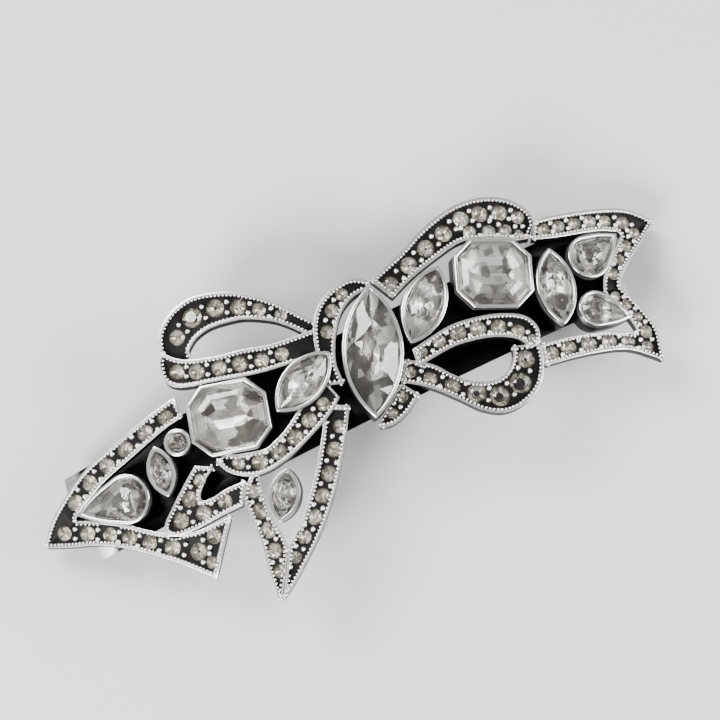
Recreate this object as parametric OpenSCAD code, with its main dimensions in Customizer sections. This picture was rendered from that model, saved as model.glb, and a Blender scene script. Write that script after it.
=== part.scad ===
// Hair clip: an arched bow of stone-set ribbons on a French barrette back.
// X runs along the clip with the arm's hinge at +X, Y runs across it, Z is up out of the bow's face.
// The clip is closed and lies on its clasp arm. Every bow piece follows one arch that bends along X.

/* [Arch] */
// Radius of the arch under the bow, mm
arch_r = 110; // [90:1:160]
// Height of the arch's crown over the rest face, mm
crown_z = 12.2; // [11:0.1:16]

/* [Ribbons] */
// Height of a ribbon's rims over the arch, mm
ribbon_h = 2.4; // [1.6:0.1:3.2]
// Depth from the rims to the stone-set ground, mm
rim_depth = 0.4; // [0.2:0.05:0.8]
// Width of a ribbon's rims, mm
rim_w = 0.36; // [0.25:0.01:0.8]
// Radial gap round a small stone in its seat, mm
seat_gap = 0.02; // [0.01:0.01:0.1]

/* [Bezels] */
// Wall of a bezel cup, mm
bezel_wall = 0.45; // [0.3:0.05:0.8]
// Height of the large bezels over the arch, mm
bezel_h = 3.4; // [2.6:0.1:4.4]
// Height of the middle bezel over the arch, mm
centre_h = 4.2; // [3.2:0.1:5.5]

/* [Back plate] */
// Width of the back plate, mm
plate_w = 12; // [9:0.5:14]
// Half length of the back plate to its corners, mm
plate_x = 39.6; // [34:0.2:44]
// Thickness of the back plate, mm
plate_t = 0.8; // [0.5:0.1:1.2]

/* [Clasp] */
// Width of the clasp arm, mm
arm_w = 5; // [4:0.5:7]
// Thickness of the clasp arm, mm
arm_t = 0.9; // [0.6:0.1:1.2]
// Distance of the hinge pin from the middle, mm
pin_x = 38.5; // [34:0.5:42]
// Radius of the hinge pin, mm
pin_r = 0.7; // [0.5:0.05:1]

/* [Output] */
// Sub-part to show, or "all"

/* [Hidden] */
$fn = 64;
silver = [0.62, 0.61, 0.59];
steel = [0.72, 0.72, 0.73];
crystal = [0.86, 0.88, 0.9];
// Steps of a ribbon's edge between two stations.
edge_steps = 5;
// Height over the arch at which places in the plan are meant, as the radius there.
place_r = arch_r + 2.4;
// A rim takes no more than this share of a ribbon that narrows to a tip.
tip_share = 0.34;
// Depths of a small stone's seat and back under the ground.
seat_deep = 0.75;
stone_deep = 0.72;
// Clearance of a ribbon round a bezel cup, and of a bezel round its stone.
cup_gap = 0.03;
stone_gap = 0.03;
// Corner cut of the octagon stones, as a share of their length.
octagon_cut = 2.3 / 10.6;
// Places of the rivets that hold the bow, and of the one that holds the catch.
bow_rivet_a = [-27.2, 0.2];
bow_rivet_b = [30.1, -1];
catch_rivet_x = -35.5;
rivet_r = 0.8;
pin_z = 1.6;
knuckle_r = 1.6;

// ---- curves ----
function crp(a, b, c, d, t) =
  0.5 * (2 * b + (c - a) * t + (2 * a - 5 * b + 4 * c - d) * t * t
    + (3 * b - a - 3 * c + d) * t * t * t);
function spline(p, k) = [
  for (i = [0:len(p) - 2])
    for (j = [0:k - 1])
      crp(p[max(i - 1, 0)], p[i], p[i + 1], p[min(i + 2, len(p) - 1)], j / k),
  p[len(p) - 1]
];
// A ribbon's row of stations is [x, y of one edge, x, y of the other edge].
function edge_a(s, inset) = [for (q = s) mix_in([q[0], q[1]], [q[2], q[3]], inset)];
function edge_b(s, inset) = [for (q = s) mix_in([q[2], q[3]], [q[0], q[1]], inset)];
function mix_in(p, q, d) = p + (q - p) * min(d / max(norm(q - p), 0.001), tip_share);
function backwards(v) = [for (i = [len(v) - 1:-1:0]) v[i]];
function outline(st, inset) =
  concat(edge_a(spline(st, edge_steps), inset), backwards(edge_b(spline(st, edge_steps), inset)));
// ---- ribbons: rows of stations ----
left_loop_back = [[-20.8, 13.2, -16.7, 10.5], [-20.4, 14.8, -17.2, 12.3], [-19.5, 16.6, -16.2, 13.3],
  [-17, 18.3, -15, 13.8], [-13.8, 18.8, -13.2, 14], [-10.6, 17.9, -10.8, 13.6], [-8, 16.5, -8.6, 12.9],
  [-4.9, 13.9, -5.7, 11.1], [-2.6, 11, -3.9, 9.3], [-0.4, 8.1, -2.3, 7.2]];
left_loop_front = [[-20.4, 14.1, -21.3, 12.9], [-19.2, 12.6, -21.7, 10.6], [-17.4, 11.4, -20.2, 8.8],
  [-14, 10.2, -15.6, 7.3], [-10.9, 9.5, -11.8, 6.1], [-7.4, 8.4, -8.4, 5.3], [-3.6, 7.8, -4.2, 4.7],
  [-0.8, 7.6, -0.9, 4.4]];
left_loop_lower = [[-20.4, -2, -18.6, -1.8], [-19.3, -4.2, -17.6, -2.4], [-17.1, -5.8, -15.8, -3],
  [-14.5, -6.3, -13.8, -3.5], [-11.5, -5.9, -11.8, -3], [-8.9, -5.1, -10.1, -2.3],
  [-6.2, -4.1, -7.7, -0.9], [-4, -3.1, -5.2, 0.4], [-2.3, -1.9, -3.2, 1.4]];
left_tail_upper = [[-21.6, 8.1, -21.6, 5.3], [-25.3, 7.6, -24.5, 5], [-30.4, 6.6, -30, 3.8],
  [-36.1, 5.4, -34.5, 2.8], [-40.4, 3.4, -38.2, 1.4], [-43.5, 1.4, -40, 0.5], [-45.8, -1, -40.3, 0]];
left_tail_lower = [[-45.8, -1.1, -40.3, -0.1], [-42.4, -2.8, -38.6, -1], [-39.8, -3.9, -36.4, -2.4],
  [-37.1, -5.5, -34.2, -4], [-34, -8, -32.4, -5.6], [-32, -9.9, -30.3, -7.2], [-30, -11.9, -26.8, -8.8],
  [-26.9, -15.5, -21.6, -9.2]];
left_fold = [[-23.1, -1.2, -20.9, -2.5], [-25.5, -2.8, -22.5, -3.4], [-28, -4.6, -23.9, -4.7],
  [-30.1, -6.4, -24.2, -5.3], [-29.6, -8, -24, -5.8], [-26.4, -8.6, -22.6, -6],
  [-22.6, -8.6, -20.8, -5.8], [-19.7, -8.7, -18, -6]];
low_left = [[-19.2, -7.4, -15.8, -4.6], [-19.5, -11.5, -16.8, -10.2], [-19.8, -14.5, -16.9, -13.2],
  [-20.4, -17.2, -16.9, -16], [-20.8, -20, -18.9, -19.3], [-21, -21.7, -20.6, -21.8]];
low_right = [[-1.6, -3.4, -4.4, -1.9], [-4.3, -7.5, -6.8, -5.6], [-7.2, -11.3, -9.3, -9],
  [-9.6, -14, -11.8, -11.9], [-12.5, -16.7, -14.3, -14.5], [-15.7, -19.1, -16.6, -16],
  [-18.2, -20.8, -18.7, -19.3], [-20, -21.8, -20.5, -21.8]];
collar_left = [[7.8, 10.3, 7.4, 9.2], [5.4, 11.5, 5.2, 9.1], [1.6, 10.7, 3, 8], [-0.8, 8.6, 1.3, 6.1],
  [-2.2, 5.6, 0.1, 4.2], [-2.8, 2.6, -0.8, 2], [-2.7, 0, -1, -0.6]];
collar_right = [[0.6, -7.8, 1.1, -6.7], [2.4, -8.2, 2.8, -5.6], [4.8, -7.6, 4.2, -4.6],
  [7.2, -6.2, 5.7, -3.8]];
right_upper = [[8.2, 10.2, 9.8, 6.8], [13.3, 11.8, 13.6, 8.2], [17.2, 13.4, 17.6, 9.2],
  [21.4, 14.5, 21.4, 9.8], [24.8, 14.6, 24.4, 8.9], [27.9, 13.8, 26.8, 7.8], [30.4, 12.2, 28.6, 6.9],
  [31.9, 9.8, 29.8, 6.6], [31.7, 8, 30, 6.4]];
right_near = [[9, -0.5, 8.6, -2.9], [14.1, 0.2, 13.4, -2.5], [17.2, 0, 16.4, -2.8],
  [21, -0.9, 19.4, -3.6], [24.3, -2.6, 21.8, -4.9], [25.4, -4.8, 22.8, -6.2], [24.7, -6.8, 23, -7]];
right_ring = [[5.7, -3.7, 7.5, -1.2], [8.8, -6, 10.5, -3.4], [11.4, -8.9, 12, -5.4],
  [13.6, -11.6, 13.6, -7.2], [16.2, -13.2, 15.6, -8.4], [19.2, -13.2, 17.6, -8.8],
  [22, -11.9, 19.4, -8.1], [23.9, -9.4, 20.6, -6.9], [24.6, -7, 21, -5.7]];
tail_upper = [[31.9, 8.5, 30.4, 6.2], [34.9, 8, 34, 5.1], [39.7, 6.9, 38.8, 4], [43.6, 5.6, 41.6, 2.9],
  [45.8, 4.2, 42.1, 2.5], [47.6, 2.1, 42.2, 2.1]];
notch_upper = [[47.5, 2, 42.2, 2], [44.6, 0.2, 40.6, 0.7], [41.8, -1.5, 38.8, -0.8],
  [39.4, -3.3, 37, -2.4], [38.6, -4.4, 36, -4.2]];
notch_lower = [[38.6, -4.5, 36, -4.4], [39.4, -6.9, 36.8, -6.6], [40.2, -9.6, 37.5, -8.8],
  [40.4, -12, 37.7, -10.4], [39.2, -15.8, 37.3, -10.9]];
tail_lower = [[23.9, -9.9, 24.7, -7], [28.4, -10.6, 27.7, -7.5], [31.5, -11.3, 30.6, -8.2],
  [33.9, -12, 33.8, -9.2], [36.1, -13.1, 36.4, -10.5], [39.1, -15.8, 37.2, -11]];

// ---- rows of small stones: [x, y, radius] ----
left_loop_back_row = [[-17.8, 15, 1.05], [-14.9, 16.5, 1.35], [-11.6, 16.1, 1.2], [-8.8, 14.9, 1.1],
  [-6.6, 13.3, 0.95], [-4.3, 11.3, 0.85]];
left_loop_front_row = [[-19.7, 10.9, 1], [-17.4, 9.7, 1.05], [-14.6, 8.8, 1.05], [-11.9, 8, 1.05],
  [-9.2, 7.1, 1], [-6.5, 6.6, 0.95]];
left_loop_lower_row = [[-17.8, -3.5, 0.9], [-15.3, -4.6, 1.1], [-12.5, -4.6, 1.1], [-9.8, -3.9, 1.1],
  [-7.2, -2.8, 1.05], [-4.6, -1.7, 0.9]];
left_tail_upper_row = [[-23.8, 6.4, 1.05], [-27.1, 5.8, 1.1], [-30.4, 5.2, 1.1], [-33.6, 4.4, 1.1],
  [-36.7, 3.5, 1.1], [-39.6, 2.3, 1.1]];
left_tail_lower_row = [[-42.7, -0.7, 1], [-39.9, -2.2, 1.05], [-37.3, -3.8, 1.05], [-35.1, -5.4, 1.05],
  [-33, -7.2, 1.05], [-30.5, -9.2, 1.1], [-27.6, -11.3, 1.15], [-24.9, -10.4, 1.05],
  [-26.6, -13.4, 0.85]];
left_fold_row = [[-23.4, -3.1, 0.85], [-25.6, -4.7, 1.1], [-27.9, -6.6, 1.1], [-24.8, -7.2, 1.05],
  [-21.7, -7.1, 1.05]];
low_left_row = [[-17.7, -7.7, 0.95], [-18.1, -10.3, 1.05], [-18.3, -13, 1.1], [-18.7, -15.7, 1.05],
  [-19.3, -18.4, 0.9]];
low_right_row = [[-4, -5.2, 0.9], [-6, -7.6, 1.05], [-8, -10.1, 1.05], [-10, -12.3, 1.05],
  [-12.2, -14.2, 1.05], [-14.5, -15.9, 0.95], [-16.6, -17.8, 0.8]];
collar_left_row = [[4, 10.1, 0.85], [1.9, 8.7, 0.95], [0.1, 6.5, 0.9]];
collar_right_row = [[5, -5.4, 0.85], [2.9, -6.8, 0.75]];
right_upper_row = [[10.5, 8.6, 1.1], [13.8, 9.9, 1.15], [16.9, 11, 1.15], [20, 11.9, 1.15],
  [23.1, 12.7, 1.1], [25.8, 12.3, 1.15], [28.3, 11.4, 1.1], [30.3, 9.8, 0.95], [23.3, 10.6, 0.9],
  [25.7, 9.6, 0.95], [27.8, 8.8, 0.9], [29.3, 7.6, 0.7]];
right_near_row = [[9.9, -1.4, 0.8], [12.7, -1.1, 0.95], [15.4, -1.1, 1.1], [18.1, -1.7, 1.1],
  [20.7, -2.7, 1.1], [22.7, -4.2, 0.95], [23.9, -6, 0.7]];
right_ring_row = [[7.4, -3, 0.85], [9.4, -4.9, 0.95], [11.6, -7, 1.1], [14, -9.3, 1.3],
  [16.6, -10.9, 1.35], [19.9, -10.5, 1.45], [22, -8, 1.2]];
tail_upper_row = [[32.7, 6.9, 0.95], [34.9, 6.5, 0.95], [37.1, 6, 0.95], [39.3, 5.4, 0.95],
  [41.4, 4.6, 0.95], [43.6, 3.6, 0.95]];
notch_upper_row = [[44.4, 1.6, 0.8], [42.4, 0.4, 0.85], [40.5, -0.9, 0.85], [38.7, -2.4, 0.85]];
notch_lower_row = [[37.4, -5.4, 0.75], [38.3, -7, 0.75], [38.9, -9.1, 0.7], [39, -11.4, 0.9]];
tail_lower_row = [[25.7, -8.7, 1], [28.1, -9, 1.1], [30.9, -9.7, 1.1], [33.6, -10.5, 1.05],
  [36, -11.6, 1], [38.1, -13.3, 0.85]];
// Bands that meet at a tip or a notch share the stones on their seam.
left_tail_seats = concat(left_tail_upper_row, left_tail_lower_row);
lower_tail_seats = concat(low_left_row, low_right_row);
right_tail_seats = concat(tail_upper_row, notch_upper_row, notch_lower_row, tail_lower_row);

// ---- settings: [x, y, turn, length, width, height] ----
centre_set = [4.1, 1.4, 66, 17.6, 8, centre_h];
left_oct_set = [-16.2, 2.3, -16.5, 10.7, 9.4, bezel_h];
right_oct_set = [23.2, 4, -23.5, 10.6, 9.5, bezel_h];
left_marq_set = [-5.6, 2, 22, 10.4, 5.6, bezel_h];
right_in_set = [13, 4.1, 44, 11.2, 5.8, bezel_h];
right_out_set = [30.1, -1, 73, 10.8, 5.5, bezel_h - 0.2];
left_pear_set = [-32.9, -0.8, 170, 10.6, 6.6, bezel_h - 0.3];
upper_pear_set = [36.2, 0.9, 14, 8.6, 6, bezel_h - 0.3];
lower_pear_set = [33.7, -5.9, -34, 7.8, 5, bezel_h - 0.3];
small_marq_set = [-27.2, 0.2, 80, 6.8, 3.8, bezel_h - 0.5];
drop_set = [-14.3, -10, 56, 7, 4.1, bezel_h - 0.4];
round_set = [-23.7, 2.6, 0, 3.64, 3.64, bezel_h - 0.6];

// ---- placing ----
module on_arch(x, y, h) {
  a = asin(x / place_r);
  translate([(arch_r + h) * sin(a), y, crown_z - arch_r + (arch_r + h) * cos(a)])
    rotate([0, a, 0])
      children();
}
module arch_solid(h) {
  translate([0, 40, crown_z - arch_r])
    rotate([90, 0, 0])
      cylinder(h = 80, r = arch_r + h, $fn = 360);
}
// A slice of the arch between two heights, in the plan drawn by the children.
module arched(low, high) {
  difference() {
    intersection() {
      translate([0, 0, -1])
        linear_extrude(height = crown_z + 8)
          children();
      arch_solid(high);
    }
    arch_solid(low);
  }
}

// ---- ribbon pieces ----
module plan(st) {
  polygon(outline(st, 0));
}
// The stone-set ground stops short of an end, which leaves a rim across it, or runs past an open one.
function ground(st, open_first, open_last) = let (q = spline(st, edge_steps), n = len(q), m = concat(
    open_first ? [2 * q[0] - q[1]] : [],
    [for (i = [1:n - 2]) q[i]],
    open_last ? [2 * q[n - 1] - q[n - 2]] : []))
  concat(edge_a(m, rim_w), backwards(edge_b(m, rim_w)));
// A ribbon with raised rims and drilled seats, trimmed where the ribbons in the list lie over it.
// Children cut it where a bezel stands in it.
module ribbon(st, high, seats, above, open_first = false, open_last = false) {
  difference() {
    arched(0, high)
      difference() {
        plan(st);
        for (other = above)
          plan(other);
      }
    arched(high - rim_depth, high + 2)
      polygon(ground(st, open_first, open_last));
    for (p = seats)
      on_arch(p[0], p[1], high - rim_depth - seat_deep)
        cylinder(h = 2, r = p[2] + seat_gap, $fn = 32);
    children();
  }
}
// A small round stone: a pointed back, a girdle and a flat-topped crown.
module chaton(r) {
  cylinder(h = 0.55, r1 = r * 0.25, r2 = r, $fn = 32);
  translate([0, 0, 0.55])
    cylinder(h = 0.2, r = r, $fn = 32);
  translate([0, 0, 0.75])
    cylinder(h = 0.38, r1 = r, r2 = r * 0.56, $fn = 32);
}
module stone_rows(list, high) {
  color(crystal)
    for (p = list)
      on_arch(p[0], p[1], high - rim_depth - stone_deep)
        chaton(p[2]);
}

// ---- bezels and large stones ----
module octagon(w, h, c) {
  polygon([[-w / 2 + c, -h / 2], [w / 2 - c, -h / 2], [w / 2, -h / 2 + c], [w / 2, h / 2 - c],
    [w / 2 - c, h / 2], [-w / 2 + c, h / 2], [-w / 2, h / 2 - c], [-w / 2, -h / 2 + c]]);
}
module marquise(w, h) {
  r = (w * w + h * h) / (4 * h);
  intersection() {
    translate([0, r - h / 2])
      circle(r = r, $fn = 180);
    translate([0, h / 2 - r])
      circle(r = r, $fn = 180);
  }
}
// A drop with its round end at the origin and its tip towards +X; bow rounds its long sides.
function pear_points(w, h, n) = let (r = h / 2, d = w - r, t = acos(r / d), side = [for (i = [1:3]) i / 4])
  concat(
    [for (i = [0:n]) let (v = t + (360 - 2 * t) * i / n) [r * cos(v), r * sin(v)]],
    [for (k = side) [r * cos(t) + (d - r * cos(t)) * k, -r * sin(t) * (1 - k) - 0.05 * h * sin(180 * k)]],
    [[d, 0]],
    [for (k = side) [d + (r * cos(t) - d) * k, r * sin(t) * k + 0.05 * h * sin(180 * k)]]);
module pear(w, h) {
  polygon(pear_points(w, h, 40));
}
// The outline of a cut stone, with few straight sides so that it facets.
function arc_half(w, h, n) = let (r = (w * w + h * h) / (4 * h), t = asin(w / (2 * r)))
  [for (i = [0:n - 1]) let (v = -t + 2 * t * i / n) [r * sin(v), r * cos(v) - (r - h / 2)]];
module cut_outline(kind, w, h) {
  half = arc_half(w, h, 8);
  if (kind == "octagon") octagon(w, h, octagon_cut * w);
  if (kind == "marquise") polygon(concat(half, [for (p = half) -p]));
  if (kind == "pear") polygon(pear_points(w, h, 14));
  if (kind == "round") circle(r = w / 2, $fn = 16);
}
module shape(kind, w, h) {
  if (kind == "octagon") octagon(w, h, octagon_cut * w);
  if (kind == "marquise") marquise(w, h);
  if (kind == "pear") pear(w, h);
  if (kind == "round") circle(r = w / 2, $fn = 48);
}
module cup_solid(kind, s) {
  on_arch(s[0], s[1], 0)
    rotate([0, 0, s[2]])
      translate([0, 0, -0.6])
        linear_extrude(height = s[5] + 2)
          shape(kind, s[3] + 2 * cup_gap, s[4] + 2 * cup_gap);
}
module bezel(kind, s) {
  w = bezel_wall;
  color(silver)
    difference() {
      on_arch(s[0], s[1], 0)
        rotate([0, 0, s[2]])
          difference() {
            translate([0, 0, -0.4])
              linear_extrude(height = s[5] + 0.4)
                shape(kind, s[3], s[4]);
            translate([0, 0, s[5] - 1])
              linear_extrude(height = 2)
                shape(kind, s[3] - 2 * w, s[4] - 2 * w);
            translate([0, 0, 0.6])
              linear_extrude(height = 4)
                shape(kind, s[3] - 2 * w - 0.9, s[4] - 2 * w - 0.9);
          }
      arch_solid(0);
    }
}
// A cut stone resting on the bezel's ledge: pavilion, girdle, sloped crown and table.
module cut_stone(kind, s) {
  w = bezel_wall + stone_gap;
  a = s[3] - 2 * w;
  b = s[4] - 2 * w;
  deep = s[5] - 1.6;
  color(crystal)
    on_arch(s[0], s[1], s[5] - 0.98)
      rotate([0, 0, s[2]])
        union() {
          linear_extrude(height = 0.6)
            cut_outline(kind, a, b);
          translate([0, 0, 0.6])
            linear_extrude(height = 0.7, scale = 0.8)
              cut_outline(kind, a, b);
          translate([0, 0, 1.2])
            linear_extrude(height = 0.65, scale = 0.72)
              cut_outline(kind, a * 0.8, b * 0.8);
          translate([0, 0, 0.2])
            mirror([0, 0, 1])
              linear_extrude(height = min(deep, 2.2) + 0.2, scale = 0.35)
                cut_outline(kind, a - 1.6, b - 1.6);
        }
}

// ---- back plate and clasp ----
module plate_plan(w) {
  polygon([[-plate_x, -w / 2], [plate_x, -w / 2], [plate_x + 1.3, 0], [plate_x, w / 2],
    [-plate_x, w / 2], [-plate_x - 1.3, 0]]);
}
module back_plate() {
  color(steel)
    difference() {
      union() {
        arched(-plate_t, 0)
          plate_plan(plate_w);
        plate_ear(1);
        plate_ear(-1);
      }
      arched(-0.3, 1)
        square([70, plate_w - 3.4], center = true);
      for (p = [bow_rivet_a, bow_rivet_b, [catch_rivet_x, 0]])
        on_arch(p[0], p[1], -3)
          cylinder(h = 6, r = rivet_r + 0.05, $fn = 32);
      translate([pin_x, 8, pin_z])
        rotate([90, 0, 0])
          cylinder(h = 16, r = pin_r, $fn = 48);
    }
}
module plate_ear(side) {
  intersection() {
    translate([pin_x, side * 4.1 + 0.35, 0])
      rotate([90, 0, 0])
        linear_extrude(height = 0.7)
          union() {
            translate([0, pin_z])
              circle(r = 1.5, $fn = 48);
            translate([-1.5, pin_z])
              square([3, 5]);
          }
    arch_solid(-0.4);
  }
}
module bar_keeper(x) {
  on_arch(x, 0, -plate_t - 1.82)
    difference() {
      translate([-0.9, -3.1, 0])
        cube([1.8, 6.2, 1.8]);
      translate([-2, -2.6, 0.4])
        cube([4, 5.2, 2]);
    }
}
module bar_keepers() {
  color(steel)
    union() {
      bar_keeper(-30.5);
      bar_keeper(30.5);
    }
}
module tension_bar() {
  flat_r = 330;
  color(steel)
    intersection() {
      translate([-31.8, -2.2, 0])
        cube([63.6, 4.4, 20]);
      translate([0, 10, 7.9 - flat_r])
        rotate([90, 0, 0])
          difference() {
            cylinder(h = 20, r = flat_r, $fn = 720);
            translate([0, 0, -1])
              cylinder(h = 22, r = flat_r - 0.4, $fn = 720);
          }
    }
}
module clasp_arm() {
  color(steel)
    difference() {
      union() {
        translate([0, arm_w / 2, 0])
          rotate([90, 0, 0])
            linear_extrude(height = arm_w)
              polygon([[pin_x, 0], [-28, 0], [-30, 1.4], [-33, 1.4], [-33, 2.2], [-30.3, 2.2],
                [-28.3, arm_t], [pin_x, arm_t]]);
        translate([-39.4, -4.7, 1.4])
          cube([7.2, 9.4, 0.8]);
        translate([pin_x, 3.3, pin_z])
          rotate([90, 0, 0])
            cylinder(h = 6.6, r = knuckle_r, $fn = 48);
      }
      translate([-38.4, -3.2, 0])
        cube([5.2, 6.4, 4]);
      translate([pin_x, 8, pin_z])
        rotate([90, 0, 0])
          cylinder(h = 16, r = pin_r + 0.05, $fn = 48);
    }
}
module hinge_pin() {
  color(steel)
    translate([pin_x, 0, pin_z])
      rotate([90, 0, 0])
        union() {
          translate([0, 0, -4.9])
            cylinder(h = 9.8, r = pin_r, $fn = 48);
          for (s = [-4.95, 4.55])
            translate([0, 0, s])
              cylinder(h = 0.4, r = pin_r + 0.35, $fn = 48);
        }
}
module catch_base() {
  color(steel)
    difference() {
      arched(-plate_t - 0.6, -plate_t)
        translate([-38.4, -3.2])
          square([5.6, 6.4]);
      on_arch(catch_rivet_x, 0, -3)
        cylinder(h = 6, r = rivet_r, $fn = 32);
    }
}
module catch_rivet() {
  color(steel)
    on_arch(catch_rivet_x, 0, 0)
      union() {
        translate([0, 0, -plate_t - 0.95])
          cylinder(h = 1.6, r = rivet_r, $fn = 32);
        translate([0, 0, -plate_t - 1])
          cylinder(h = 0.38, r = 1.3, $fn = 32);
      }
}
module catch_prong(side) {
  color(steel)
    intersection() {
      translate([-37.6, 0, 0])
        rotate([90, 0, 90])
          linear_extrude(height = 3.6)
            polygon([[side * 2.4, 8], [side * 2.4, 0.5], [side * 3.1, 0.5], [side * 3.55, 1],
              [side * 3.55, 1.2], [side * 3, 1.2], [side * 3, 2.9], [side * 5.4, 3.2],
              [side * 5.4, 3.6], [side * 3, 3.4], [side * 3, 8]]);
      arch_solid(-plate_t - 0.7);
    }
}
module bow_rivet(p) {
  on_arch(p[0], p[1], 0)
    union() {
      translate([0, 0, -plate_t - 0.3])
        cylinder(h = 0.9, r = rivet_r, $fn = 32);
      translate([0, 0, -plate_t - 0.42])
        cylinder(h = 0.4, r = 1.5, $fn = 32);
    }
}
module bow_rivets() {
  color(steel)
    union() {
      bow_rivet(bow_rivet_a);
      bow_rivet(bow_rivet_b);
    }
}

// ---- the bow's ribbons ----
module left_loop_back_ribbon() {
  color(silver)
    ribbon(left_loop_back, ribbon_h, left_loop_back_row, [left_loop_front, collar_left],
      open_first = true, open_last = true);
}
module left_loop_front_ribbon() {
  color(silver)
    ribbon(left_loop_front, ribbon_h + 0.4, left_loop_front_row, [collar_left]) {
      cup_solid("octagon", left_oct_set);
      cup_solid("marquise", left_marq_set);
      cup_solid("marquise", centre_set);
    }
}
module left_loop_lower_ribbon() {
  color(silver)
    ribbon(left_loop_lower, ribbon_h + 0.2, left_loop_lower_row, [collar_left]) {
      cup_solid("octagon", left_oct_set);
      cup_solid("marquise", left_marq_set);
    }
}
module left_tail_upper_band() {
  color(silver)
    ribbon(left_tail_upper, ribbon_h, left_tail_seats, [left_loop_front], open_last = true) {
      cup_solid("octagon", left_oct_set);
      cup_solid("round", round_set);
      cup_solid("pear", left_pear_set);
      cup_solid("marquise", small_marq_set);
    }
}
module left_tail_lower_band() {
  color(silver)
    ribbon(left_tail_lower, ribbon_h, left_tail_seats, [left_fold, left_tail_upper], open_first = true) {
      cup_solid("pear", left_pear_set);
    }
}
module left_tail_fold() {
  color(silver)
    ribbon(left_fold, ribbon_h + 0.2, left_fold_row, [left_loop_lower]) {
      cup_solid("octagon", left_oct_set);
      cup_solid("marquise", small_marq_set);
    }
}
module lower_tail_left_band() {
  color(silver)
    ribbon(low_left, ribbon_h, lower_tail_seats, [left_loop_lower, left_fold]) {
      cup_solid("marquise", drop_set);
    }
}
module lower_tail_right_band() {
  color(silver)
    ribbon(low_right, ribbon_h, lower_tail_seats, [left_loop_lower, low_left, collar_left]) {
      cup_solid("marquise", drop_set);
    }
}
module knot_collar_left() {
  color(silver)
    ribbon(collar_left, ribbon_h + 0.7, collar_left_row, []) {
      cup_solid("marquise", centre_set);
      cup_solid("marquise", left_marq_set);
    }
}
module knot_collar_right() {
  color(silver)
    ribbon(collar_right, ribbon_h, collar_right_row, [right_ring]) {
      cup_solid("marquise", centre_set);
    }
}
module right_loop_upper_ribbon() {
  color(silver)
    ribbon(right_upper, ribbon_h, right_upper_row, [collar_left]) {
      cup_solid("marquise", centre_set);
      cup_solid("marquise", right_in_set);
      cup_solid("octagon", right_oct_set);
      cup_solid("marquise", right_out_set);
    }
}
module right_loop_near_ribbon() {
  color(silver)
    ribbon(right_near, ribbon_h + 0.4, right_near_row, []) {
      cup_solid("octagon", right_oct_set);
    }
}
module right_loop_ring() {
  color(silver)
    ribbon(right_ring, ribbon_h + 0.2, right_ring_row, [right_near]) {
      cup_solid("marquise", centre_set);
    }
}
module right_tail_upper_band() {
  color(silver)
    ribbon(tail_upper, ribbon_h, right_tail_seats, [right_upper], open_last = true) {
      cup_solid("pear", upper_pear_set);
      cup_solid("marquise", right_out_set);
    }
}
module right_tail_notch_upper() {
  color(silver)
    ribbon(notch_upper, ribbon_h, right_tail_seats, [tail_upper], open_first = true, open_last = true) {
      cup_solid("pear", upper_pear_set);
    }
}
module right_tail_notch_lower() {
  color(silver)
    ribbon(notch_lower, ribbon_h, right_tail_seats, [notch_upper], open_first = true, open_last = true) {
      cup_solid("pear", upper_pear_set);
      cup_solid("pear", lower_pear_set);
    }
}
module right_tail_lower_band() {
  color(silver)
    ribbon(tail_lower, ribbon_h, right_tail_seats, [notch_lower, right_ring, right_near],
      open_last = true) {
      cup_solid("marquise", right_out_set);
      cup_solid("pear", lower_pear_set);
    }
}
module left_loop_stones() {
  stone_rows(left_loop_back_row, ribbon_h);
  stone_rows(left_loop_front_row, ribbon_h + 0.4);
  stone_rows(left_loop_lower_row, ribbon_h + 0.2);
}
module left_tail_stones() {
  stone_rows(left_tail_seats, ribbon_h);
  stone_rows(left_fold_row, ribbon_h + 0.2);
}
module lower_tail_stones() {
  stone_rows(lower_tail_seats, ribbon_h);
}
module knot_stones() {
  stone_rows(collar_left_row, ribbon_h + 0.7);
  stone_rows(collar_right_row, ribbon_h);
}
module right_loop_stones() {
  stone_rows(right_upper_row, ribbon_h);
  stone_rows(right_near_row, ribbon_h + 0.4);
  stone_rows(right_ring_row, ribbon_h + 0.2);
}
module right_tail_stones() {
  stone_rows(right_tail_seats, ribbon_h);
}

// ---- output: one line per sub-part ----
back_plate();
bar_keepers();
tension_bar();
clasp_arm();
hinge_pin();
catch_base();
catch_rivet();
catch_prong(-1);  // catch_prong_front
catch_prong(1);  // catch_prong_rear
bow_rivets();
left_loop_back_ribbon();
left_loop_front_ribbon();
left_loop_lower_ribbon();
left_tail_upper_band();
left_tail_lower_band();
left_tail_fold();
lower_tail_left_band();
lower_tail_right_band();
knot_collar_left();
knot_collar_right();
right_loop_upper_ribbon();
right_loop_near_ribbon();
right_loop_ring();
right_tail_upper_band();
right_tail_notch_upper();
right_tail_notch_lower();
right_tail_lower_band();
bezel("marquise", centre_set);  // centre_bezel
bezel("octagon", left_oct_set);  // left_octagon_bezel
bezel("octagon", right_oct_set);  // right_octagon_bezel
bezel("marquise", left_marq_set);  // left_marquise_bezel
bezel("marquise", right_in_set);  // right_inner_marquise_bezel
bezel("marquise", right_out_set);  // right_outer_marquise_bezel
bezel("pear", left_pear_set);  // left_pear_bezel
bezel("pear", upper_pear_set);  // upper_pear_bezel
bezel("pear", lower_pear_set);  // lower_pear_bezel
bezel("marquise", small_marq_set);  // small_marquise_bezel
bezel("marquise", drop_set);  // drop_marquise_bezel
bezel("round", round_set);  // round_bezel
cut_stone("marquise", centre_set);  // centre_stone
cut_stone("octagon", left_oct_set);  // left_octagon_stone
cut_stone("octagon", right_oct_set);  // right_octagon_stone
cut_stone("marquise", left_marq_set);  // left_marquise_stone
cut_stone("marquise", right_in_set);  // right_inner_marquise_stone
cut_stone("marquise", right_out_set);  // right_outer_marquise_stone
cut_stone("pear", left_pear_set);  // left_pear_stone
cut_stone("pear", upper_pear_set);  // upper_pear_stone
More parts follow.
